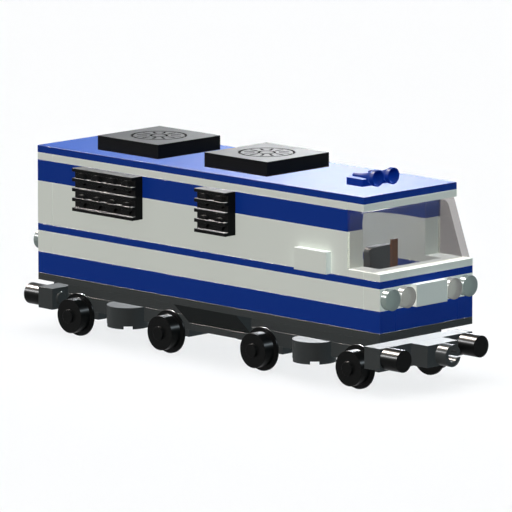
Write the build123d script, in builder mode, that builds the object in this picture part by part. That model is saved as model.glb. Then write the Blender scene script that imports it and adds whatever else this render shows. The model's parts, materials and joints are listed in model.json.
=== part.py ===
from build123d import *
import os

os.makedirs("parts", exist_ok=True)

# Brick-built toy locomotive, millimetres. X is forward, Y is to the left and Z is up.
# The origin is on the running plane under the middle of the base plate.

# Module: lengths and widths lie on the stud pitch, heights on bricks and plates.
STUD = 8.0
BRICK = 8.0
PLATE = BRICK / 3
SEAM = 0.05

# Body in plan.
LENGTH = 22 * STUD
WIDTH = 6 * STUD
WALL = STUD
NOSE_X = LENGTH / 2
TAIL_X = -LENGTH / 2
ROOF_FRONT_X = NOSE_X - STUD
WALL_FRONT_X = NOSE_X - 2 * STUD
SIDE_Y = WIDTH / 2
INSIDE_W = WIDTH - 2 * WALL
WALL_MID_Y = SIDE_Y - WALL / 2

# Running gear under the base plate. The flanges stand on Z = 0.
CARRIER_W = 4 * STUD
CARRIER_PLATE_H = 2 * PLATE
CARRIER_BLOCK_H = 2 * PLATE
HOLDER_H = PLATE
HOLDER_LEN = 2 * STUD
FLANGE_R = 8.0
FLANGE_T = 0.9
FLANGE_GAP = 0.4
WHEEL_GAP = 1.9
TREAD_R = 6.4
TREAD_W = 4.6
BOSS_R = 2.5
BOSS_H = 1.0
AXLE_R = 0.7
AXLE_PLAY = 0.3
NEAR_AXLE_X = 3 * STUD
FAR_AXLE_X = 9 * STUD
AXLE_Z = FLANGE_R
CARRIER_TOP_Z = AXLE_Z + HOLDER_H / 2 + CARRIER_BLOCK_H + CARRIER_PLATE_H
PLATE_LOW_Z = CARRIER_TOP_Z - CARRIER_PLATE_H
BLOCK_LOW_Z = PLATE_LOW_Z - CARRIER_BLOCK_H
HOLDER_LOW_Z = BLOCK_LOW_Z - HOLDER_H

# Courses, from the base plate up.
BASE_H = PLATE
LOWER_H = BRICK
MIDDLE_H = BRICK
STRIPE_H = PLATE
LEDGE_H = PLATE
WALL_H = 2 * BRICK
BAND_H = BRICK
HEADER_H = PLATE
ROOF_H = PLATE
BASE_Z = CARRIER_TOP_Z
BASE_TOP_Z = BASE_Z + BASE_H
LOWER_TOP_Z = BASE_TOP_Z + LOWER_H
MIDDLE_TOP_Z = LOWER_TOP_Z + MIDDLE_H
STRIPE_TOP_Z = MIDDLE_TOP_Z + STRIPE_H
LEDGE_TOP_Z = STRIPE_TOP_Z + LEDGE_H
WALL_TOP_Z = STRIPE_TOP_Z + WALL_H
BAND_TOP_Z = WALL_TOP_Z + BAND_H
HEADER_TOP_Z = BAND_TOP_Z + HEADER_H
ROOF_TOP_Z = HEADER_TOP_Z + ROOF_H

# Windscreen: one clear shell with a sloping front.
SCREEN_FOOT_BACK = 1.5
SCREEN_HEAD_BACK = 1.4
SCREEN_SIDE = 1.2
SCREEN_TOP = 1.6
SCREEN_FRONT = 2.6
SCREEN_ROUND = 3.0

# Cab fittings.
STAND_LEN = 3 * STUD
STAND_W = 2 * STUD
SEAT_BACK = 6.0
SEAT_D = 3.0
SEAT_W = 12.8
SEAT_H = 10.0
SEAT_ROUND = 2.2
LEVER_REACH = 5.9
LEVER_T = 0.7
LEVER_W = 3.4
LEVER_H = 5 * PLATE

# Roof fans.
FAN_REAR_X = -6 * STUD
FAN_FRONT_X = STUD
FAN_SIDE = 4 * STUD
FAN_H = 2 * PLATE
FAN_HUB_R = 3.0
FAN_RIM_R = 10.0
FAN_LAND = 1.0
FAN_GROOVE = 1.0
FAN_GROOVE_D = 0.8
FAN_SPOKE_COUNT = 12

# Horns.
HORN_TAIL_X = 7 * STUD
HORN_BASE_H = PLATE
HORN_BASE_W = 2 * STUD
HORN_Y = STUD / 2
HORN_LIFT = 0.05
HORN_LEN = 11.8
HORN_TAIL_R = 0.9
HORN_WAIST = 6.2
HORN_WAIST_R = 1.4
HORN_BELL_R = 3.0
HORN_BELL_LEN = 1.5
HORN_LIP = 0.45
HORN_MOUTH_D = 5.5

# Side grilles.
GRILLE_LONG_X = -8 * STUD
GRILLE_LONG_LEN = 4 * STUD
GRILLE_SHORT_X = 0.0
GRILLE_SHORT_LEN = 2 * STUD
GRILLE_H = 2 * BRICK
GRILLE_BACK = 3.7
FIN_COUNT = 5
FIN_T = 1.3
FIN_OUT = 1.6
BUMP_R = 2.4
BUMP_OUT = 1.2

# Blank plates and lamps.
BLANK_LEN = 2 * STUD
BLANK_H = BRICK
BLANK_T = PLATE
BLANK_SIDE_X = 6 * STUD
LAMP_R = 3.85
LAMP_GAP = 0.3
LAMP_T = PLATE

# Ends: beams, buffers and couplings.
BEAM_DROP = PLATE
BEAM_H = BRICK
BUFFER_R = 4.0
BUFFER_LEN = STUD
BUFFER_Y = 2.5 * STUD
KNOB_R = 2.2
KNOB_H = 0.9
TONGUE_LEN = STUD
TONGUE_W = 2 * STUD
CLIP_BORE_R = 2.2
CLIP_WALL = 1.8
CLIP_LEN = 5.0
CLIP_MOUTH = 1.6

# Drums between the wheels, and the tank between the carriers.
DRUM_R = STUD
DRUM_H = BRICK
DRUM_PLAY = 0.3
DRUM_NOTCH_W = 3.3
DRUM_NOTCH_H = 1.1
TANK_LEN = 4 * STUD
TANK_H = BRICK
TANK_PLATE_H = PLATE

# Base plate.
with BuildPart() as base_plate:
    with BuildSketch(Plane.XY.offset(BASE_Z)):
        Rectangle(LENGTH, WIDTH)
    extrude(amount=BASE_H)
base_plate.part.label = "base_plate"
export_step(base_plate.part, "parts/base_plate.step")

# Courses of the body, one stud thick. The corners belong to the sides and the ends in turn, as in a bond.
COURSES = (
    # name, rear X, front X, bottom Z, height, closed in front, corners on the sides
    ("lower_course", TAIL_X, NOSE_X, BASE_TOP_Z, LOWER_H, True, True),
    ("middle_course", TAIL_X, NOSE_X, LOWER_TOP_Z, MIDDLE_H, True, False),
    ("stripe_course", TAIL_X, NOSE_X, MIDDLE_TOP_Z, STRIPE_H, True, True),
    ("wall_course", TAIL_X, WALL_FRONT_X, STRIPE_TOP_Z, WALL_H, False, False),
    ("band_course", TAIL_X, WALL_FRONT_X, WALL_TOP_Z, BAND_H, False, True),
    ("header_course", TAIL_X, ROOF_FRONT_X, BAND_TOP_Z, HEADER_H, True, False),
)
for name, rear, front, bottom, height, front_end, side_corners in COURSES:
    end_w = INSIDE_W - 2 * SEAM if side_corners else WIDTH
    side_rear = rear if side_corners else rear + WALL + SEAM
    side_front = front if side_corners or not front_end else front - WALL - SEAM
    with BuildPart() as course:
        with BuildSketch(Plane.XY.offset(bottom)):
            for y in (-WALL_MID_Y, WALL_MID_Y):
                with Locations(((side_rear + side_front) / 2, y)):
                    Rectangle(side_front - side_rear, WALL)
            with Locations((rear + WALL / 2, 0)):
                Rectangle(WALL, end_w)
            if front_end:
                with Locations((front - WALL / 2, 0)):
                    Rectangle(WALL, end_w)
        extrude(amount=height)
    course.part.label = name
    export_step(course.part, f"parts/{name}.step")

# Nose ledge: a run across the nose and a stub on each side back to the walls.
with BuildPart() as nose_ledge:
    with BuildSketch(Plane.XY.offset(STRIPE_TOP_Z)):
        with Locations((NOSE_X - WALL / 2, 0)):
            Rectangle(WALL, WIDTH)
        stub_front = NOSE_X - WALL - SEAM
        for y in (-WALL_MID_Y, WALL_MID_Y):
            with Locations(((WALL_FRONT_X + stub_front) / 2, y)):
                Rectangle(stub_front - WALL_FRONT_X, WALL)
    extrude(amount=LEDGE_H)
nose_ledge.part.label = "nose_ledge"
export_step(nose_ledge.part, "parts/nose_ledge.step")

# Roof.
with BuildPart() as roof:
    with BuildSketch(Plane.XY.offset(HEADER_TOP_Z)):
        with Locations(((TAIL_X + ROOF_FRONT_X) / 2, 0)):
            Rectangle(ROOF_FRONT_X - TAIL_X, WIDTH)
    extrude(amount=ROOF_H)
roof.part.label = "roof"
export_step(roof.part, "parts/roof.step")

# Windscreen: the side profile across the full width, hollowed from behind and below.
screen_foot_x = NOSE_X - SCREEN_FOOT_BACK
screen_head_x = ROOF_FRONT_X - SCREEN_HEAD_BACK
screen_lean = (screen_foot_x - screen_head_x) / (BAND_TOP_Z - LEDGE_TOP_Z)
cavity_top_z = BAND_TOP_Z - SCREEN_TOP
with BuildPart() as windscreen:
    with BuildSketch(Plane.XZ):
        Polygon(
            (WALL_FRONT_X, LEDGE_TOP_Z),
            (screen_foot_x, LEDGE_TOP_Z),
            (screen_head_x, BAND_TOP_Z),
            (WALL_FRONT_X, BAND_TOP_Z),
            align=None,
        )
    extrude(amount=SIDE_Y, both=True)
    with BuildSketch(Plane.XZ) as cavity:
        Polygon(
            (WALL_FRONT_X, LEDGE_TOP_Z),
            (screen_foot_x - SCREEN_FRONT, LEDGE_TOP_Z),
            (screen_head_x - SCREEN_FRONT + screen_lean * SCREEN_TOP, cavity_top_z),
            (WALL_FRONT_X, cavity_top_z),
            align=None,
        )
        # The sketch's own Y is the height here.
        upper_corners = cavity.vertices().sort_by(Axis.Y)[-2:]
        fillet(upper_corners.sort_by(Axis.X)[-1], SCREEN_ROUND)
    extrude(amount=SIDE_Y - SCREEN_SIDE, both=True, mode=Mode.SUBTRACT)
windscreen.part.label = "windscreen"
export_step(windscreen.part, "parts/windscreen.step")

# Cab stand, seat and lever.
with BuildPart() as cab_stand:
    with BuildSketch(Plane.XY.offset(BASE_TOP_Z)):
        with Locations((NOSE_X - WALL - STAND_LEN / 2, 0)):
            Rectangle(STAND_LEN, STAND_W)
    extrude(amount=MIDDLE_TOP_Z - BASE_TOP_Z)
cab_stand.part.label = "cab_stand"
export_step(cab_stand.part, "parts/cab_stand.step")

seat_front_x = WALL_FRONT_X - SEAT_BACK
with BuildPart() as seat:
    with BuildSketch(Plane.YZ.offset(seat_front_x - SEAT_D)) as seat_face:
        with Locations((0, MIDDLE_TOP_Z + SEAT_H / 2)):
            Rectangle(SEAT_W, SEAT_H)
        fillet(seat_face.vertices().sort_by(Axis.Y)[-2:], SEAT_ROUND)
    extrude(amount=SEAT_D)
seat.part.label = "seat"
export_step(seat.part, "parts/seat.step")

with BuildPart() as lever:
    with BuildSketch(Plane.XY.offset(MIDDLE_TOP_Z)):
        with Locations((seat_front_x + LEVER_REACH, 0)):
            Rectangle(LEVER_T, LEVER_W)
    extrude(amount=LEVER_H)
lever.part.label = "lever"
export_step(lever.part, "parts/lever.step")

# Roof fans: a box with a round grille cut into its top.
FANS = (
    # name, centre X
    ("fan_rear", FAN_REAR_X),
    ("fan_front", FAN_FRONT_X),
)
spoke_in = FAN_HUB_R + FAN_GROOVE / 2 + FAN_LAND
spoke_out = FAN_RIM_R - FAN_GROOVE / 2 - FAN_LAND
for name, x in FANS:
    with BuildPart() as fan:
        with BuildSketch(Plane.XY.offset(ROOF_TOP_Z)):
            with Locations((x, 0)):
                Rectangle(FAN_SIDE, FAN_SIDE)
        extrude(amount=FAN_H)
        with BuildSketch(Plane.XY.offset(ROOF_TOP_Z + FAN_H - FAN_GROOVE_D)):
            with Locations((x, 0)):
                Circle(FAN_RIM_R + FAN_GROOVE / 2)
                Circle(FAN_RIM_R - FAN_GROOVE / 2, mode=Mode.SUBTRACT)
                Circle(FAN_HUB_R + FAN_GROOVE / 2)
                Circle(FAN_HUB_R - FAN_GROOVE / 2, mode=Mode.SUBTRACT)
                with PolarLocations((spoke_in + spoke_out) / 2, FAN_SPOKE_COUNT):
                    Rectangle(spoke_out - spoke_in, FAN_GROOVE)
        extrude(amount=FAN_GROOVE_D, mode=Mode.SUBTRACT)
    fan.part.label = name
    export_step(fan.part, f"parts/{name}.step")

# Horns: two flared trumpets on one small plate.
horn_z = ROOF_TOP_Z + HORN_LIFT + HORN_BELL_R
horn_planes = [
    Plane((HORN_TAIL_X, -HORN_Y, horn_z), x_dir=(1, 0, 0), z_dir=(0, -1, 0)),
    Plane((HORN_TAIL_X, HORN_Y, horn_z), x_dir=(1, 0, 0), z_dir=(0, -1, 0)),
]
with BuildPart() as horns:
    with BuildSketch(Plane.XY.offset(ROOF_TOP_Z)):
        with Locations((HORN_TAIL_X + STUD / 2, 0)):
            Rectangle(STUD, HORN_BASE_W)
    extrude(amount=HORN_BASE_H)
    for plane in horn_planes:
        with BuildSketch(plane):
            with BuildLine():
                Spline(
                    (0, HORN_TAIL_R),
                    (HORN_WAIST, HORN_WAIST_R),
                    (HORN_LEN - HORN_BELL_LEN, HORN_BELL_R),
                )
                Polyline(
                    (HORN_LEN - HORN_BELL_LEN, HORN_BELL_R),
                    (HORN_LEN, HORN_BELL_R),
                    (HORN_LEN, 0),
                    (0, 0),
                    (0, HORN_TAIL_R),
                )
            make_face()
        revolve(axis=Axis(plane.origin, (1, 0, 0)))
    for plane in horn_planes:
        with BuildSketch(plane):
            Polygon(
                (HORN_LEN - HORN_MOUTH_D, 0),
                (HORN_LEN, HORN_BELL_R - HORN_LIP),
                (HORN_LEN, 0),
                align=None,
            )
        revolve(axis=Axis(plane.origin, (1, 0, 0)), mode=Mode.SUBTRACT)
horns.part.label = "horns"
export_step(horns.part, "parts/horns.step")

# Side grilles: a back panel, level fins and round bumps between them.
GRILLES = (
    # name, rear X, length, side
    ("grille_long_left", GRILLE_LONG_X, GRILLE_LONG_LEN, 1),
    ("grille_long_right", GRILLE_LONG_X, GRILLE_LONG_LEN, -1),
    ("grille_short_left", GRILLE_SHORT_X, GRILLE_SHORT_LEN, 1),
    ("grille_short_right", GRILLE_SHORT_X, GRILLE_SHORT_LEN, -1),
)
grille_z = BAND_TOP_Z - GRILLE_H
fin_pitch = (GRILLE_H - FIN_T) / (FIN_COUNT - 1)
for name, rear, length, side in GRILLES:
    # The sketch's own Y points up on the right side and down on the left side.
    corner = Plane((rear, side * SIDE_Y, grille_z), x_dir=(1, 0, 0), z_dir=(0, side, 0))
    up = -side
    with BuildPart() as grille:
        with BuildSketch(corner):
            with Locations((length / 2, up * GRILLE_H / 2)):
                Rectangle(length, GRILLE_H)
        extrude(amount=GRILLE_BACK)
        with BuildSketch(corner):
            for fin in range(FIN_COUNT):
                with Locations((length / 2, up * (FIN_T / 2 + fin * fin_pitch))):
                    Rectangle(length, FIN_T)
        extrude(amount=GRILLE_BACK + FIN_OUT)
        with BuildSketch(corner):
            for column in range(round(length / STUD)):
                for row in range(round(GRILLE_H / BRICK)):
                    with Locations(((column + 0.5) * STUD, up * (row + 0.5) * BRICK)):
                        Circle(BUMP_R)
        extrude(amount=GRILLE_BACK + BUMP_OUT)
    grille.part.label = name
    export_step(grille.part, f"parts/{name}.step")

# Blank number plates: one on each side and one on the nose.
SIDE_BLANKS = (
    # name, side
    ("plate_left", 1),
    ("plate_right", -1),
)
for name, side in SIDE_BLANKS:
    with BuildPart() as blank:
        with BuildSketch(Plane.XY.offset(STRIPE_TOP_Z)):
            with Locations((BLANK_SIDE_X + BLANK_LEN / 2, side * (SIDE_Y + BLANK_T / 2))):
                Rectangle(BLANK_LEN, BLANK_T)
        extrude(amount=BLANK_H)
    blank.part.label = name
    export_step(blank.part, f"parts/{name}.step")

with BuildPart() as plate_front:
    with BuildSketch(Plane.XY.offset(LOWER_TOP_Z)):
        with Locations((NOSE_X + BLANK_T / 2, 0)):
            Rectangle(BLANK_T, BLANK_LEN)
    extrude(amount=BLANK_H)
plate_front.part.label = "plate_front"
export_step(plate_front.part, "parts/plate_front.step")

# Lamps on both ends: round plates set on edge.
lamp_inner_y = BLANK_LEN / 2 + LAMP_GAP / 2 + LAMP_R
lamp_outer_y = lamp_inner_y + 2 * LAMP_R + LAMP_GAP
lamp_z = LOWER_TOP_Z + MIDDLE_H / 2
LAMPS = (
    # name, end, distance from the middle
    ("lamps_front_clear", 1, lamp_outer_y),
    ("lamps_front_red", 1, lamp_inner_y),
    ("lamps_rear_clear", -1, lamp_outer_y),
    ("lamps_rear_red", -1, lamp_inner_y),
)
for name, end, y in LAMPS:
    with BuildPart() as lamps:
        with BuildSketch(Plane((end * NOSE_X, 0, lamp_z), x_dir=(0, 1, 0), z_dir=(end, 0, 0))):
            with Locations((-y, 0), (y, 0)):
                Circle(LAMP_R)
        extrude(amount=LAMP_T)
    lamps.part.label = name
    export_step(lamps.part, f"parts/{name}.step")

# Ends: buffer beam with knobs behind the buffers, pair of buffers, and a tongue with the coupling clip.
beam_low_z = BASE_Z - BEAM_DROP - BEAM_H
beam_mid_z = beam_low_z + BEAM_H / 2
beam_rear_x = FAR_AXLE_X + FLANGE_R + FLANGE_GAP
ENDS = (
    # name, end
    ("front", 1),
    ("rear", -1),
)
for name, end in ENDS:
    with BuildPart() as beam:
        with BuildSketch(Plane.XY.offset(beam_low_z)):
            with Locations((end * (beam_rear_x + NOSE_X) / 2, 0)):
                Rectangle(NOSE_X - beam_rear_x, WIDTH)
        extrude(amount=BEAM_H)
        with BuildSketch(Plane((end * beam_rear_x, 0, beam_mid_z), x_dir=(0, 1, 0), z_dir=(-end, 0, 0))):
            with Locations((-BUFFER_Y, 0), (BUFFER_Y, 0)):
                Circle(KNOB_R)
        extrude(amount=KNOB_H)
    beam.part.label = f"beam_{name}"
    export_step(beam.part, f"parts/beam_{name}.step")

    with BuildPart() as buffers:
        with BuildSketch(Plane((end * NOSE_X, 0, beam_mid_z), x_dir=(0, 1, 0), z_dir=(end, 0, 0))):
            with Locations((-BUFFER_Y, 0), (BUFFER_Y, 0)):
                Circle(BUFFER_R)
        extrude(amount=BUFFER_LEN)
    buffers.part.label = f"buffers_{name}"
    export_step(buffers.part, f"parts/buffers_{name}.step")

    clip_r = CLIP_BORE_R + CLIP_WALL
    clip_face = Plane((end * (NOSE_X + TONGUE_LEN), 0, beam_mid_z), x_dir=(0, end, 0), z_dir=(end, 0, 0))
    with BuildPart() as coupling:
        with BuildSketch(Plane.XY.offset(beam_low_z)):
            with Locations((end * (NOSE_X + TONGUE_LEN / 2), 0)):
                Rectangle(TONGUE_LEN, TONGUE_W)
        extrude(amount=BEAM_H)
        with BuildSketch(clip_face):
            Circle(clip_r)
            Circle(CLIP_BORE_R, mode=Mode.SUBTRACT)
            with Locations((clip_r / 2, 0)):
                Rectangle(clip_r, CLIP_MOUTH, mode=Mode.SUBTRACT)
        extrude(amount=CLIP_LEN)
    coupling.part.label = f"coupling_{name}"
    export_step(coupling.part, f"parts/coupling_{name}.step")

# Axle carriers under each end: plate, block with pockets for the drums, and the drums.
carrier_rear_x = TANK_LEN / 2
carrier_len = beam_rear_x - carrier_rear_x
drum_x = (NEAR_AXLE_X + FAR_AXLE_X) / 2
drum_low_z = PLATE_LOW_Z - DRUM_H
for name, end in ENDS:
    carrier_mid_x = end * (carrier_rear_x + beam_rear_x) / 2
    drum_places = [(end * drum_x, -CARRIER_W / 2), (end * drum_x, CARRIER_W / 2)]
    with BuildPart() as carrier_plate:
        with BuildSketch(Plane.XY.offset(PLATE_LOW_Z)):
            with Locations((carrier_mid_x, 0)):
                Rectangle(carrier_len, CARRIER_W)
        extrude(amount=CARRIER_PLATE_H)
    carrier_plate.part.label = f"carrier_plate_{name}"
    export_step(carrier_plate.part, f"parts/carrier_plate_{name}.step")

    with BuildPart() as carrier_block:
        with BuildSketch(Plane.XY.offset(BLOCK_LOW_Z)):
            with Locations((carrier_mid_x, 0)):
                Rectangle(carrier_len, CARRIER_W)
            with Locations(*drum_places):
                Circle(DRUM_R + DRUM_PLAY, mode=Mode.SUBTRACT)
        extrude(amount=CARRIER_BLOCK_H)
    carrier_block.part.label = f"carrier_block_{name}"
    export_step(carrier_block.part, f"parts/carrier_block_{name}.step")

    with BuildPart() as drums:
        with BuildSketch(Plane.XY.offset(drum_low_z)):
            with Locations(*drum_places):
                Circle(DRUM_R)
        extrude(amount=DRUM_H)
        with BuildSketch(Plane.XY.offset(drum_low_z)):
            with Locations(*drum_places):
                Rectangle(2 * DRUM_R, DRUM_NOTCH_W, rotation=45)
                Rectangle(2 * DRUM_R, DRUM_NOTCH_W, rotation=-45)
        extrude(amount=DRUM_NOTCH_H, mode=Mode.SUBTRACT)
    drums.part.label = f"drums_{name}"
    export_step(drums.part, f"parts/drums_{name}.step")

# Axle holders and wheelsets, numbered from the rear.
flange_in_y = CARRIER_W / 2 + WHEEL_GAP
flange_out_y = flange_in_y + FLANGE_T
face_y = flange_out_y + TREAD_W
boss_y = face_y + BOSS_H
AXLES = (
    # number, X
    (1, -FAR_AXLE_X),
    (2, -NEAR_AXLE_X),
    (3, NEAR_AXLE_X),
    (4, FAR_AXLE_X),
)
for number, x in AXLES:
    with BuildPart() as holder:
        with BuildSketch(Plane.XZ.offset(-CARRIER_W / 2)):
            with Locations((x, HOLDER_LOW_Z + HOLDER_H / 2)):
                Rectangle(HOLDER_LEN, HOLDER_H)
            with Locations((x, AXLE_Z)):
                Circle(AXLE_R + AXLE_PLAY, mode=Mode.SUBTRACT)
        extrude(amount=CARRIER_W)
    holder.part.label = f"axle_holder_{number}"
    export_step(holder.part, f"parts/axle_holder_{number}.step")

    with BuildPart() as wheelset:
        with BuildSketch(Plane((x, 0, AXLE_Z), x_dir=(0, 1, 0), z_dir=(1, 0, 0))):
            for side in (-1, 1):
                Polygon(
                    (0, 0),
                    (0, AXLE_R),
                    (side * flange_in_y, AXLE_R),
                    (side * flange_in_y, FLANGE_R),
                    (side * flange_out_y, FLANGE_R),
                    (side * flange_out_y, TREAD_R),
                    (side * face_y, TREAD_R),
                    (side * face_y, BOSS_R),
                    (side * boss_y, BOSS_R),
                    (side * boss_y, 0),
                    align=None,
                )
        revolve(axis=Axis((x, 0, AXLE_Z), (0, 1, 0)))
    wheelset.part.label = f"wheelset_{number}"
    export_step(wheelset.part, f"parts/wheelset_{number}.step")

# Tank between the carriers: sloping sides and a bottom plate.
tank_low_z = BASE_Z - TANK_H
with BuildPart() as tank_slopes:
    with BuildSketch(Plane.YZ.offset(-TANK_LEN / 2)):
        Polygon(
            (-SIDE_Y, BASE_Z),
            (-CARRIER_W / 2, tank_low_z),
            (CARRIER_W / 2, tank_low_z),
            (SIDE_Y, BASE_Z),
            align=None,
        )
    extrude(amount=TANK_LEN)
tank_slopes.part.label = "tank_slopes"
export_step(tank_slopes.part, "parts/tank_slopes.step")

with BuildPart() as tank_plate:
    with BuildSketch(Plane.XY.offset(tank_low_z - TANK_PLATE_H)):
        Rectangle(TANK_LEN, CARRIER_W)
    extrude(amount=TANK_PLATE_H)
tank_plate.part.label = "tank_plate"
export_step(tank_plate.part, "parts/tank_plate.step")
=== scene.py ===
"""Finish of a brick-built toy freight locomotive: moulded plastics, softened edges, stage and camera."""

import json
import math
from typing import NamedTuple

import bmesh
import bpy
from bpy.props import FloatProperty, FloatVectorProperty, PointerProperty
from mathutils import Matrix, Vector

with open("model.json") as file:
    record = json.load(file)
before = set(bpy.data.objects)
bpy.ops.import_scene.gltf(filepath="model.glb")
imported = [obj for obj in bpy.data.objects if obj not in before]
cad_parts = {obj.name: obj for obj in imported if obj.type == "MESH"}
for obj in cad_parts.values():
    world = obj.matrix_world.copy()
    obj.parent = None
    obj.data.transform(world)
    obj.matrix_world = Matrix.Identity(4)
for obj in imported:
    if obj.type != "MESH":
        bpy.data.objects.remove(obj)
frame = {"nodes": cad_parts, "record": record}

bl_info = {
    "name": "Brick-Built Toy Locomotive",
    "version": (1, 0, 0),
    "blender": (4, 5, 0),
    "location": "View3D > Sidebar > Locomotive",
    "description": "Moulded plastics, softened edges, stage and camera of a brick-built toy locomotive",
    "category": "Object",
}

MM = 0.001

# Vertices closer than the gap are one vertex, faces within the flat angle of each other are one face, and
# corners sharper than the edge angle get the mould's radius.
WELD_GAP = 0.001 * MM
FLAT_ANGLE = math.radians(1.0)
EDGE_ANGLE = math.radians(35.0)
EDGE_SEGMENTS = 2
# How far broad faces outweigh the narrow edge strips in the shading, of 100.
BROAD_FACE_WEIGHT = 90

ABS_IOR = 1.53
HAZE_ROUGHNESS = 0.3
# Scuffs are streaks of noise, turned in radians and stretched. They show above one level of it and are full
# at another.
SCUFF_TURN = (0.3, 0.2, 0.5)
SCUFF_STRETCH = (1.0, 0.15, 0.4)
SCUFF_START = 0.45
SCUFF_FULL = 0.75
SCUFF_DULLING = 0.008
SPARK_ROUGHNESS = 0.9

POLYCARBONATE_IOR = 1.58
# What is seen through a thin clear wall is hardly shifted, so its body bends light little, and its gloss is
# a coat.
CLEAR_BODY_IOR = 1.01
CLEAR_BODY_ROUGHNESS = 0.03
CLEAR_GLOSS_ROUGHNESS = 0.22
CLEAR_FLOW_SHADE = 0.06


class AbsFinish(NamedTuple):
    """One finish of moulded ABS. Mirror levels are low: the toy shows little of the white room round it."""

    name: str
    shade: float  # how much darker the flow clouds are
    gloss: float  # roughness between the scuffs
    mirror: float  # specular level
    haze: float = 0.0  # sheen where a face is seen along its length
    haze_tint: str = "#FFFFFF"
    groove_share: float = 0.0  # share of the height, from the top, under which level faces are groove floors


class ClearFinish(NamedTuple):
    """One finish of moulded clear polycarbonate."""

    name: str
    clarity: float  # share of the light that it lets through
    polish: float  # share of its gloss that shows


# ABS from a polished tool: a deep, even blue with a pale bloom where it is seen along the face.
BLUE_ABS = AbsFinish("blue_abs_moulded", shade=0.06, gloss=0.25, mirror=0.034, haze=0.9, haze_tint="#5A92FF")
# The horns' tool is less polished: light lies on them as soft streaks, not as spots.
SATIN_BLUE_ABS = BLUE_ABS._replace(name="blue_abs_satin", gloss=0.42, mirror=0.018)
# White hides its flow clouds, and its gloss shows only as a glint on level tops.
WHITE_ABS = AbsFinish("white_abs_moulded", shade=0.03, gloss=0.26, mirror=0.008)
# Dark grey is faintly cloudy, and turns pale where it is seen along the face.
GREY_ABS = AbsFinish("dark_grey_abs_moulded", shade=0.10, gloss=0.28, mirror=0.020, haze=0.3)
# ABS from a grained tool, as on sloping bricks: matt, with no glint.
GRAINED_GREY_ABS = AbsFinish("dark_grey_abs_grained", shade=0.10, gloss=0.70, mirror=0.0)
# Black shows little but the sharp light along its round edges.
BLACK_ABS = AbsFinish("black_abs_moulded", shade=0.15, gloss=0.29, mirror=0.030)
# Grooves keep the tool's spark finish: matt, so that they read as dark lines in a glossy top.
GROOVED_BLACK_ABS = BLACK_ABS._replace(name="black_abs_grooved", groove_share=0.08)
# Brown is warm and plain, with light only on its edges.
BROWN_ABS = AbsFinish("brown_abs_moulded", shade=0.08, gloss=0.28, mirror=0.08)
# Clear polycarbonate as a thin sheet: the cab shows through it, greyed, with hardly any gloss.
SHEET_POLYCARBONATE = ClearFinish("clear_polycarbonate_sheet", clarity=0.95, polish=0.02)
# As thick round plates it is smoky, with bright glints round the rim.
LENS_POLYCARBONATE = ClearFinish("clear_polycarbonate_lens", clarity=0.3, polish=0.12)
RED_LENS_POLYCARBONATE = ClearFinish("red_clear_polycarbonate_lens", clarity=0.4, polish=0.12)


class Lamp(NamedTuple):
    """One far lamp, its angles in degrees. Level 1 lights a face square to it to the face's own colour."""

    name: str
    azimuth: float
    elevation: float
    level: float
    colour: str = "#FFFFFF"
    width: float = 0.0
    shadow: bool = False
    matt: bool = True  # lights the matt colour of the faces
    shine: bool = True  # shows as a highlight


# The mirror levels are low, so a lamp that only shines is strong where its highlights are to be white, and
# weak where level tops mirror it straight on.
LAMPS = (
    Lamp("key", azimuth=-76.0, elevation=45.0, level=0.26, shine=False),
    Lamp("top_soft", azimuth=0.0, elevation=90.0, level=0.12, width=40.0, shadow=True, shine=False),
    Lamp("side_fill", azimuth=0.0, elevation=25.0, level=0.569, width=20.0, shine=False),
    Lamp("front_fill", azimuth=140.0, elevation=25.0, level=0.68, colour="#E8F7FF"),
    Lamp("low_sheen", azimuth=219.0, elevation=14.0, level=0.75, colour="#F4F9FF"),
    Lamp("top_shine", azimuth=224.15, elevation=10.5, level=0.010, matt=False),
    Lamp("key_shine", azimuth=-84.0, elevation=45.8, level=11.0, colour="#FFF4EA", matt=False),
    Lamp("low_shine", azimuth=-50.0, elevation=25.0, level=2.6, matt=False),
)
# The renderer samples lamps by their strength, so the lamps that only shine are hung at this level and
# brought to their own by their nodes.
SAMPLED_LEVEL = 0.8

# The flag stands opposite the camera, where it keeps the white room out of what level tops mirror.
FLAG_WIDTH = 0.6
FLAG_HEIGHT = 0.7
FLAG_DISTANCE = 1.5
FLAG_AZIMUTH = math.radians(225.0)
FLAG_BLACK = "#1A1A1A"
# The camera sees this many floor sides deep.
VIEW_DEPTH = 4


def linear(code):
    """Turn an sRGB hex code into linear red, green and blue."""
    shares = [int(code[i : i + 2], 16) / 255 for i in (1, 3, 5)]
    return tuple(s / 12.92 if s <= 0.04045 else ((s + 0.055) / 1.055) ** 2.4 for s in shares)


def opaque(colour):
    """Give a colour its alpha of one."""
    return (*colour, 1.0)


def darker(colour, share):
    """Take a share off a colour."""
    return tuple(c * (1.0 - share) for c in colour)


def per_metre(size):
    """Pattern scale that repeats once in a size given in metres."""
    return 1.0 / size


def add_node(tree, kind, settings=None, values=None, links=None):
    """Add one node: settings are its attributes, values fill its sockets and links feed them."""
    node = tree.nodes.new(kind)
    for name, value in (settings or {}).items():
        setattr(node, name, value)
    for socket, value in (values or {}).items():
        node.inputs[socket].default_value = value
    for socket, source in (links or {}).items():
        tree.links.new(source, node.inputs[socket])
    return node


def empty_material(name):
    """Start a material that holds only its output, and return it with its tree and output."""
    material = bpy.data.materials.new(name)
    material.use_nodes = True
    tree = material.node_tree
    tree.nodes.clear()
    return material, tree, add_node(tree, "ShaderNodeOutputMaterial")


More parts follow.
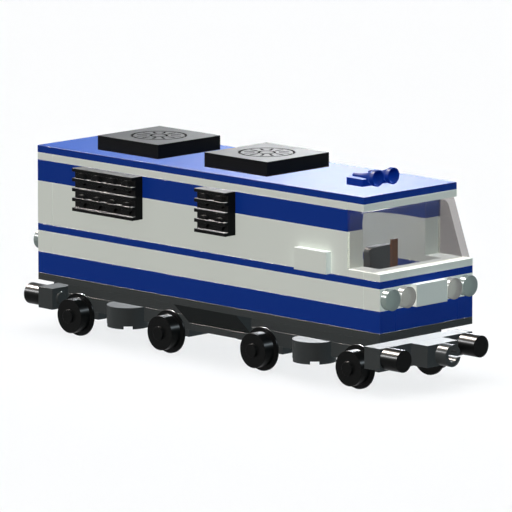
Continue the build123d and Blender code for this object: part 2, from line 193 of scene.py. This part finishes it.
class PlasticColours(bpy.types.PropertyGroup):
    """Colours of the moulded plastics."""

    blue: FloatVectorProperty(
        name="Blue", description="Blue of the courses, roof and horns",
        default=linear("#0C348C"), size=3, min=0.0, max=1.0, subtype="COLOR",
    )
    white: FloatVectorProperty(
        name="White", description="Off-white of the courses and blank plates",
        default=linear("#E4E8DF"), size=3, min=0.0, max=1.0, subtype="COLOR",
    )
    dark_grey: FloatVectorProperty(
        name="Dark grey", description="Grey of the base plate and running gear",
        default=linear("#424545"), size=3, min=0.0, max=1.0, subtype="COLOR",
    )
    black: FloatVectorProperty(
        name="Black", description="Black of the wheels, buffers, grilles and fans",
        default=linear("#111212"), size=3, min=0.0, max=1.0, subtype="COLOR",
    )
    brown: FloatVectorProperty(
        name="Brown", description="Brown of the cab lever",
        default=linear("#74400F"), size=3, min=0.0, max=1.0, subtype="COLOR",
    )
    clear: FloatVectorProperty(
        name="Clear", description="What one wall of the clear sheet lets through",
        default=linear("#B3B0AF"), size=3, min=0.0, max=1.0, subtype="COLOR",
    )
    lens: FloatVectorProperty(
        name="Lens", description="Smoky grey of the outer lamps",
        default=linear("#8C9592"), size=3, min=0.0, max=1.0, subtype="COLOR",
    )
    red_lens: FloatVectorProperty(
        name="Red lens", description="Faintly red grey of the inner lamps",
        default=linear("#A4A19E"), size=3, min=0.0, max=1.0, subtype="COLOR",
    )


class MouldingSizes(bpy.types.PropertyGroup):
    """Sizes of what moulding and handling leave on the plastics."""

    edge_radius: FloatProperty(
        name="Edge radius", description="Radius that the mould leaves on outer edges",
        default=0.10 * MM, min=0.0, unit="LENGTH",
    )
    flow_mark: FloatProperty(
        name="Flow mark", description="Width of the faint clouds of colour where the plastic flowed",
        default=22.0 * MM, min=1.0 * MM, unit="LENGTH",
    )
    sink_wave: FloatProperty(
        name="Sink wave", description="Distance between the shallow hollows over thick places",
        default=7.0 * MM, min=0.5 * MM, unit="LENGTH",
    )
    sink_depth: FloatProperty(
        name="Sink depth", description="Depth of the shallow hollows",
        default=0.001 * MM, min=0.0, unit="LENGTH",
    )
    scuff: FloatProperty(
        name="Scuff", description="Width of the handling marks, drawn coarser than life so that they show",
        default=0.9 * MM, min=0.05 * MM, unit="LENGTH",
    )


class StageSettings(bpy.types.PropertyGroup):
    """Camera, floor and even light."""

    azimuth: FloatProperty(
        name="Azimuth", description="Camera's turn about the vertical from the right side",
        default=math.radians(44.826), subtype="ANGLE",
    )
    elevation: FloatProperty(
        name="Elevation", description="Camera's height above level",
        default=math.radians(10.034), subtype="ANGLE",
    )
    distance: FloatProperty(
        name="Distance", description="From the camera to the point it looks at",
        default=2.28045, min=0.1, unit="LENGTH",
    )
    target: FloatVectorProperty(
        name="Target", description="Point that the camera looks at",
        default=(2.512 * MM, 0.0, 37.049 * MM), size=3, subtype="TRANSLATION",
    )
    lens: FloatProperty(
        name="Lens", description="Focal length on a 36 mm wide square frame",
        default=439.65, min=1.0, unit="CAMERA",
    )
    floor_side: FloatProperty(
        name="Floor side", description="Side of the square floor",
        default=24.0, min=1.0, unit="LENGTH",
    )
    floor_colour: FloatVectorProperty(
        name="Floor colour", description="Pale colour of the floor as it is seen",
        default=linear("#FEFAF8"), size=3, min=0.0, max=1.0, subtype="COLOR",
    )
    floor_bounce: FloatVectorProperty(
        name="Floor bounce", description="Colour of the light that the floor throws back up",
        default=linear("#4A4A4A"), size=3, min=0.0, max=1.0, subtype="COLOR",
    )
    ambient: FloatProperty(
        name="Ambient", description="Strength of the even light from all round",
        default=0.05, min=0.0,
    )


def nodes_in_slot(slot, but=()):
    """The pieces to which the record gives a material slot, without those that take another finish."""
    names = [row["node"] for row in frame["record"]["subparts"] if row["material_slot"] == slot]
    return [frame["nodes"][name] for name in names if frame["nodes"][name] not in but]


def soften_edges(piece, radius):
    """Round a piece's outer edges the way a mould does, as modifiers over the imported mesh."""
    weld = piece.modifiers.new("one skin", "WELD")
    weld.merge_threshold = WELD_GAP
    level = piece.modifiers.new("whole faces", "DECIMATE")
    level.decimate_type = "DISSOLVE"
    level.angle_limit = FLAT_ANGLE
    edge = piece.modifiers.new("mould radius", "BEVEL")
    edge.width = radius
    edge.segments = EDGE_SEGMENTS
    edge.limit_method = "ANGLE"
    edge.angle_limit = EDGE_ANGLE
    even = piece.modifiers.new("even shine", "WEIGHTED_NORMAL")
    even.mode = "FACE_AREA"
    even.weight = BROAD_FACE_WEIGHT


def finish_pieces(pieces, material, radius):
    """Give pieces their material and their softened edges."""
    if not pieces:
        raise RuntimeError(f"no pieces take {material.name}")
    for piece in pieces:
        for slot in piece.material_slots:
            slot.material = material
        soften_edges(piece, radius)


def matt_grooves(tree, roughness, height_share):
    """Roughness that turns matt on level faces under a share of the piece's height."""
    place = add_node(tree, "ShaderNodeTexCoord")
    height = add_node(tree, "ShaderNodeSeparateXYZ", links={"Vector": place.outputs["Generated"]})
    facing = add_node(tree, "ShaderNodeSeparateXYZ", links={"Vector": place.outputs["Normal"]})
    low = add_node(
        tree, "ShaderNodeMath", {"operation": "LESS_THAN"}, {1: height_share}, {0: height.outputs["Z"]}
    )
    floor = add_node(
        tree, "ShaderNodeMath", {"operation": "MULTIPLY", "use_clamp": True},
        links={0: low.outputs["Value"], 1: facing.outputs["Z"]},
    )
    both = add_node(
        tree, "ShaderNodeMapRange", values={"To Max": SPARK_ROUGHNESS},
        links={"Value": floor.outputs["Value"], "To Min": roughness},
    )
    return both.outputs["Result"]


def moulded_abs(finish, colour, sizes):
    """ABS, injection-moulded: even colour with faint flow clouds, shallow sinks, scuffs and a thin haze."""
    material, tree, output = empty_material(finish.name)
    place = add_node(tree, "ShaderNodeTexCoord").outputs["Object"]
    flow = add_node(
        tree, "ShaderNodeTexNoise",
        values={"Scale": per_metre(sizes.flow_mark), "Detail": 3.0, "Roughness": 0.55, "Distortion": 0.6},
        links={"Vector": place},
    )
    clouds = add_node(
        tree, "ShaderNodeMix", {"data_type": "RGBA"},
        {"A": opaque(colour), "B": opaque(darker(colour, finish.shade))},
        {"Factor": flow.outputs["Fac"]},
    )
    streaks = add_node(
        tree, "ShaderNodeMapping",
        values={"Rotation": SCUFF_TURN, "Scale": SCUFF_STRETCH},
        links={"Vector": place},
    )
    scuffs = add_node(
        tree, "ShaderNodeTexNoise",
        values={"Scale": per_metre(sizes.scuff), "Detail": 4.0, "Roughness": 0.6},
        links={"Vector": streaks.outputs["Vector"]},
    )
    dulling = add_node(
        tree, "ShaderNodeMapRange",
        values={
            "From Min": SCUFF_START, "From Max": SCUFF_FULL,
            "To Min": finish.gloss, "To Max": finish.gloss + SCUFF_DULLING,
        },
        links={"Value": scuffs.outputs["Fac"]},
    )
    sinks = add_node(
        tree, "ShaderNodeTexNoise",
        values={"Scale": per_metre(sizes.sink_wave), "Detail": 1.0, "Roughness": 0.4},
        links={"Vector": place},
    )
    relief = add_node(
        tree, "ShaderNodeBump", values={"Strength": 1.0, "Distance": sizes.sink_depth},
        links={"Height": sinks.outputs["Fac"]},
    )
    roughness = dulling.outputs["Result"]
    if finish.groove_share:
        roughness = matt_grooves(tree, roughness, 1.0 - finish.groove_share)
    shader = add_node(
        tree, "ShaderNodeBsdfPrincipled",
        values={
            "IOR": ABS_IOR, "Specular IOR Level": finish.mirror,
            "Sheen Weight": finish.haze, "Sheen Roughness": HAZE_ROUGHNESS,
            "Sheen Tint": opaque(linear(finish.haze_tint)),
        },
        links={
            "Base Color": clouds.outputs["Result"],
            "Roughness": roughness,
            "Normal": relief.outputs["Normal"],
        },
    )
    tree.links.new(shader.outputs["BSDF"], output.inputs["Surface"])
    return material


def clear_polycarbonate(finish, tint, sizes):
    """Polycarbonate, injection-moulded clear: tinted, with faint flow lines; lamps shine through it."""
    material, tree, output = empty_material(finish.name)
    place = add_node(tree, "ShaderNodeTexCoord").outputs["Object"]
    flow = add_node(
        tree, "ShaderNodeTexNoise",
        values={"Scale": per_metre(sizes.flow_mark), "Detail": 2.0, "Distortion": 0.8},
        links={"Vector": place},
    )
    tinted = add_node(
        tree, "ShaderNodeMix", {"data_type": "RGBA"},
        {"A": opaque(tint), "B": opaque(darker(tint, CLEAR_FLOW_SHADE))},
        {"Factor": flow.outputs["Fac"]},
    )
    relief = add_node(
        tree, "ShaderNodeBump", values={"Strength": 1.0, "Distance": sizes.sink_depth},
        links={"Height": flow.outputs["Fac"]},
    )
    # Only the outside has gloss, so that the lamps don't glint again on the far wall from within.
    side = add_node(tree, "ShaderNodeNewGeometry")
    outer_gloss = add_node(
        tree, "ShaderNodeMapRange", values={"To Min": finish.polish, "To Max": 0.0},
        links={"Value": side.outputs["Backfacing"]},
    )
    shader = add_node(
        tree, "ShaderNodeBsdfPrincipled",
        values={
            "Roughness": CLEAR_BODY_ROUGHNESS, "IOR": CLEAR_BODY_IOR, "Transmission Weight": finish.clarity,
            "Coat IOR": POLYCARBONATE_IOR, "Coat Roughness": CLEAR_GLOSS_ROUGHNESS,
        },
        links={
            "Base Color": tinted.outputs["Result"], "Coat Weight": outer_gloss.outputs["Result"],
            "Normal": relief.outputs["Normal"],
        },
    )
    passing = add_node(tree, "ShaderNodeBsdfTransparent", links={"Color": tinted.outputs["Result"]})
    path = add_node(tree, "ShaderNodeLightPath")
    both = add_node(
        tree, "ShaderNodeMixShader",
        links={0: path.outputs["Is Shadow Ray"], 1: shader.outputs["BSDF"], 2: passing.outputs["BSDF"]},
    )
    tree.links.new(both.outputs["Shader"], output.inputs["Surface"])
    return material


class FinishOperator:
    """What the finishing operators share."""

    bl_options = {"REGISTER", "UNDO"}


class LOCOMOTIVE_OT_blue_pieces(FinishOperator, bpy.types.Operator):
    """Finish the blue courses, the roof and the horns"""

    bl_idname = "locomotive.blue_pieces"
    bl_label = "Blue Courses, Roof and Horns"

    def execute(self, context):
        sizes = context.scene.moulding_sizes
        colour = context.scene.plastic_colours.blue
        horns = [frame["nodes"]["horns"]]
        smooth = nodes_in_slot("blue_plastic", but=horns)
        finish_pieces(smooth, moulded_abs(BLUE_ABS, colour, sizes), sizes.edge_radius)
        finish_pieces(horns, moulded_abs(SATIN_BLUE_ABS, colour, sizes), sizes.edge_radius)
        return {"FINISHED"}


class LOCOMOTIVE_OT_white_pieces(FinishOperator, bpy.types.Operator):
    """Finish the white courses, the nose ledge and the blank plates"""

    bl_idname = "locomotive.white_pieces"
    bl_label = "White Courses and Plates"

    def execute(self, context):
        sizes = context.scene.moulding_sizes
        colour = context.scene.plastic_colours.white
        material = moulded_abs(WHITE_ABS, colour, sizes)
        finish_pieces(nodes_in_slot("white_plastic"), material, sizes.edge_radius)
        return {"FINISHED"}


class LOCOMOTIVE_OT_running_gear(FinishOperator, bpy.types.Operator):
    """Finish the dark grey base plate, running gear, tank, beams and cab seat"""

    bl_idname = "locomotive.running_gear"
    bl_label = "Base Plate and Running Gear"

    def execute(self, context):
        sizes = context.scene.moulding_sizes
        colour = context.scene.plastic_colours.dark_grey
        slopes = [frame["nodes"]["tank_slopes"]]
        smooth = nodes_in_slot("dark_grey_plastic", but=slopes)
        finish_pieces(smooth, moulded_abs(GREY_ABS, colour, sizes), sizes.edge_radius)
        finish_pieces(slopes, moulded_abs(GRAINED_GREY_ABS, colour, sizes), sizes.edge_radius)
        return {"FINISHED"}


class LOCOMOTIVE_OT_black_pieces(FinishOperator, bpy.types.Operator):
    """Finish the black wheelsets, buffers, grilles and roof fans"""

    bl_idname = "locomotive.black_pieces"
    bl_label = "Wheels, Buffers, Grilles and Fans"

    def execute(self, context):
        sizes = context.scene.moulding_sizes
        colour = context.scene.plastic_colours.black
        fans = [frame["nodes"]["fan_rear"], frame["nodes"]["fan_front"]]
        smooth = nodes_in_slot("black_plastic", but=fans)
        finish_pieces(smooth, moulded_abs(BLACK_ABS, colour, sizes), sizes.edge_radius)
        finish_pieces(fans, moulded_abs(GROOVED_BLACK_ABS, colour, sizes), sizes.edge_radius)
        return {"FINISHED"}


class LOCOMOTIVE_OT_cab_lever(FinishOperator, bpy.types.Operator):
    """Finish the brown lever in the cab"""

    bl_idname = "locomotive.cab_lever"
    bl_label = "Cab Lever"

    def execute(self, context):
        sizes = context.scene.moulding_sizes
        colour = context.scene.plastic_colours.brown
        material = moulded_abs(BROWN_ABS, colour, sizes)
        finish_pieces(nodes_in_slot("brown_plastic"), material, sizes.edge_radius)
        return {"FINISHED"}


class LOCOMOTIVE_OT_clear_pieces(FinishOperator, bpy.types.Operator):
    """Finish the windscreen and the lamps"""

    bl_idname = "locomotive.clear_pieces"
    bl_label = "Windscreen and Lamps"

    def execute(self, context):
        sizes = context.scene.moulding_sizes
        colours = context.scene.plastic_colours
        screen = [frame["nodes"]["windscreen"]]
        for pieces, finish, tint in (
            (screen, SHEET_POLYCARBONATE, colours.clear),
            (nodes_in_slot("clear_plastic", but=screen), LENS_POLYCARBONATE, colours.lens),
            (nodes_in_slot("red_clear_plastic"), RED_LENS_POLYCARBONATE, colours.red_lens),
        ):
            finish_pieces(pieces, clear_polycarbonate(finish, tint, sizes), sizes.edge_radius)
        return {"FINISHED"}


def towards(azimuth, elevation):
    """Unit vector from the object to a lamp or camera at that azimuth and elevation, in radians."""
    level = math.cos(elevation)
    return Vector((math.sin(azimuth) * level, -math.cos(azimuth) * level, math.sin(elevation)))


def seen_share(tree):
    """A socket that is one for rays by which the background is seen, straight, mirrored or through glass."""
    path = add_node(tree, "ShaderNodeLightPath")
    mirrored = add_node(
        tree, "ShaderNodeMath", {"operation": "MAXIMUM"},
        links={0: path.outputs["Is Glossy Ray"], 1: path.outputs["Is Transmission Ray"]},
    )
    seen = add_node(
        tree, "ShaderNodeMath", {"operation": "MAXIMUM"},
        links={0: path.outputs["Is Camera Ray"], 1: mirrored.outputs["Value"]},
    )
    # Light that a matt face has thrown on is no view of the background, though it went through glass after.
    straight = add_node(
        tree, "ShaderNodeMath", {"operation": "LESS_THAN"}, {1: 1.0}, {0: path.outputs["Diffuse Depth"]}
    )
    both = add_node(
        tree, "ShaderNodeMath", {"operation": "MULTIPLY"},
        links={0: seen.outputs["Value"], 1: straight.outputs["Value"]},
    )
    return both.outputs["Value"]


def add_floor(stage):
    """Lay a plain pale floor under the wheels; it throws back less light than it shows."""
    mesh = bpy.data.meshes.new("floor")
    square = bmesh.new()
    bmesh.ops.create_grid(square, x_segments=1, y_segments=1, size=stage.floor_side / 2)
    square.to_mesh(mesh)
    square.free()
    floor = bpy.data.objects.new("floor", mesh)
    bpy.context.scene.collection.objects.link(floor)
    # Matt white paper has no gloss, so it shows nothing but the soft shadow under the wheels.
    material, tree, output = empty_material("white_paper_matt")
    colour = add_node(
        tree, "ShaderNodeMix", {"data_type": "RGBA"},
        {"A": opaque(stage.floor_bounce), "B": opaque(stage.floor_colour)},
        {"Factor": seen_share(tree)},
    )
    paper = add_node(tree, "ShaderNodeBsdfDiffuse", links={"Color": colour.outputs["Result"]})
    tree.links.new(paper.outputs["BSDF"], output.inputs["Surface"])
    mesh.materials.append(material)


def add_flag():
    """Stand an upright black flag behind the object, of which only the mirror image shows."""
    mesh = bpy.data.meshes.new("black_felt_flag")
    half = FLAG_WIDTH / 2
    cloth = bmesh.new()
    corners = [(-half, 0.0, 0.0), (half, 0.0, 0.0), (half, 0.0, FLAG_HEIGHT), (-half, 0.0, FLAG_HEIGHT)]
    cloth.faces.new([cloth.verts.new(corner) for corner in corners])
    cloth.to_mesh(mesh)
    cloth.free()
    flag = bpy.data.objects.new("black_felt_flag", mesh)
    flag.location = towards(FLAG_AZIMUTH, 0.0) * FLAG_DISTANCE
    flag.rotation_euler.z = FLAG_AZIMUTH - math.pi
    flag.visible_camera = False
    flag.visible_diffuse = False
    flag.visible_shadow = False
    flag.visible_transmission = False
    bpy.context.scene.collection.objects.link(flag)
    # Felt swallows nearly all light.
    material, tree, output = empty_material("black_felt")
    felt = add_node(tree, "ShaderNodeBsdfDiffuse", values={"Color": opaque(linear(FLAG_BLACK))})
    tree.links.new(felt.outputs["BSDF"], output.inputs["Surface"])
    mesh.materials.append(material)


def light_world(ambient):
    """White all round where it is seen, and an even light of its own strength where it falls."""
    world = bpy.data.worlds.new("studio")
    world.use_nodes = True
    tree = world.node_tree
    tree.nodes.clear()
    strength = add_node(
        tree, "ShaderNodeMapRange",
        values={"To Min": ambient, "To Max": 1.0},
        links={"Value": seen_share(tree)},
    )
    sky = add_node(
        tree, "ShaderNodeBackground", values={"Color": opaque(linear("#FFFFFF"))},
        links={"Strength": strength.outputs["Result"]},
    )
    add_node(tree, "ShaderNodeOutputWorld", links={"Surface": sky.outputs["Background"]})
    bpy.context.scene.world = world


def scale_light(light, share):
    """Scale a lamp's light in its nodes, which leaves how often it is sampled as it was."""
    light.use_nodes = True
    tree = light.node_tree
    tree.nodes.clear()
    # Mixed by the kind of ray, because a plain colour would count towards the sampling again.
    path = add_node(tree, "ShaderNodeLightPath")
    colour = add_node(
        tree, "ShaderNodeMix", {"data_type": "RGBA"},
        {"A": opaque((share, share, share)), "B": opaque(linear("#000000"))},
        {"Factor": path.outputs["Is Camera Ray"]},
    )
    glow = add_node(tree, "ShaderNodeEmission", links={"Color": colour.outputs["Result"]})
    add_node(tree, "ShaderNodeOutputLight", links={"Surface": glow.outputs["Emission"]})


def add_lamps():
    """Hang the lamps far off, so that they light the floor evenly."""
    for lamp in LAMPS:
        light = bpy.data.lights.new(lamp.name, "SUN")
        light.color = linear(lamp.colour)
        light.energy = (lamp.level if lamp.matt else SAMPLED_LEVEL) * math.pi
        light.angle = math.radians(lamp.width)
        light.use_shadow = lamp.shadow
        if not lamp.matt:
            scale_light(light, lamp.level / SAMPLED_LEVEL)
        holder = bpy.data.objects.new(lamp.name, light)
        direction = towards(math.radians(lamp.azimuth), math.radians(lamp.elevation))
        holder.location = direction
        holder.rotation_euler = direction.to_track_quat("Z", "Y").to_euler()
        holder.visible_diffuse = lamp.matt
        holder.visible_glossy = lamp.shine
        # Clear pieces already let the light past, so it isn't bent through them a second time.
        holder.visible_transmission = False
        bpy.context.scene.collection.objects.link(holder)


def add_camera(stage):
    """Set the camera where the picture was taken from."""
    lens = bpy.data.cameras.new("camera")
    lens.lens = stage.lens
    lens.clip_end = VIEW_DEPTH * stage.floor_side
    camera = bpy.data.objects.new("camera", lens)
    back = towards(stage.azimuth, stage.elevation)
    camera.location = Vector(stage.target) + back * stage.distance
    camera.rotation_euler = back.to_track_quat("Z", "Y").to_euler()
    bpy.context.scene.collection.objects.link(camera)
    bpy.context.scene.camera = camera


class LOCOMOTIVE_OT_stage(bpy.types.Operator):
    """Set the floor, the flag, the lights and the camera"""

    bl_idname = "locomotive.stage"
    bl_label = "Stage"

    def execute(self, context):
        stage = context.scene.stage_settings
        add_floor(stage)
        add_flag()
        light_world(stage.ambient)
        add_lamps()
        add_camera(stage)
        context.scene.view_settings.view_transform = "Standard"
        return {"FINISHED"}


class LOCOMOTIVE_PT_panel(bpy.types.Panel):
    """Settings and buttons of the locomotive's finish"""

    bl_idname = "LOCOMOTIVE_PT_panel"
    bl_label = "Locomotive"
    bl_space_type = "VIEW_3D"
    bl_region_type = "UI"
    bl_category = "Locomotive"

    def draw(self, context):
        layout = self.layout
        scene = context.scene
        for group in (scene.plastic_colours, scene.moulding_sizes, scene.stage_settings):
            box = layout.box()
            for name in group.__annotations__:
                box.prop(group, name)
        for operator in OPERATORS:
            layout.operator(operator.bl_idname)


GROUPS = (PlasticColours, MouldingSizes, StageSettings)
OPERATORS = (
    LOCOMOTIVE_OT_blue_pieces,
    LOCOMOTIVE_OT_white_pieces,
    LOCOMOTIVE_OT_running_gear,
    LOCOMOTIVE_OT_black_pieces,
    LOCOMOTIVE_OT_cab_lever,
    LOCOMOTIVE_OT_clear_pieces,
    LOCOMOTIVE_OT_stage,
)


def register():
    """Add the classes and the scene's settings."""
    for cls in (*GROUPS, *OPERATORS, LOCOMOTIVE_PT_panel):
        bpy.utils.register_class(cls)
    bpy.types.Scene.plastic_colours = PointerProperty(type=PlasticColours)
    bpy.types.Scene.moulding_sizes = PointerProperty(type=MouldingSizes)
    bpy.types.Scene.stage_settings = PointerProperty(type=StageSettings)


def unregister():
    """Take the scene's settings and the classes away again."""
    del bpy.types.Scene.stage_settings
    del bpy.types.Scene.moulding_sizes
    del bpy.types.Scene.plastic_colours
    for cls in reversed((*GROUPS, *OPERATORS, LOCOMOTIVE_PT_panel)):
        bpy.utils.unregister_class(cls)


def main():
    """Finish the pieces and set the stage."""
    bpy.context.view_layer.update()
    register()
    bpy.ops.locomotive.blue_pieces()
    bpy.ops.locomotive.white_pieces()
    bpy.ops.locomotive.running_gear()
    bpy.ops.locomotive.black_pieces()
    bpy.ops.locomotive.cab_lever()
    bpy.ops.locomotive.clear_pieces()
    bpy.ops.locomotive.stage()


if __name__ == "__main__":
    main()
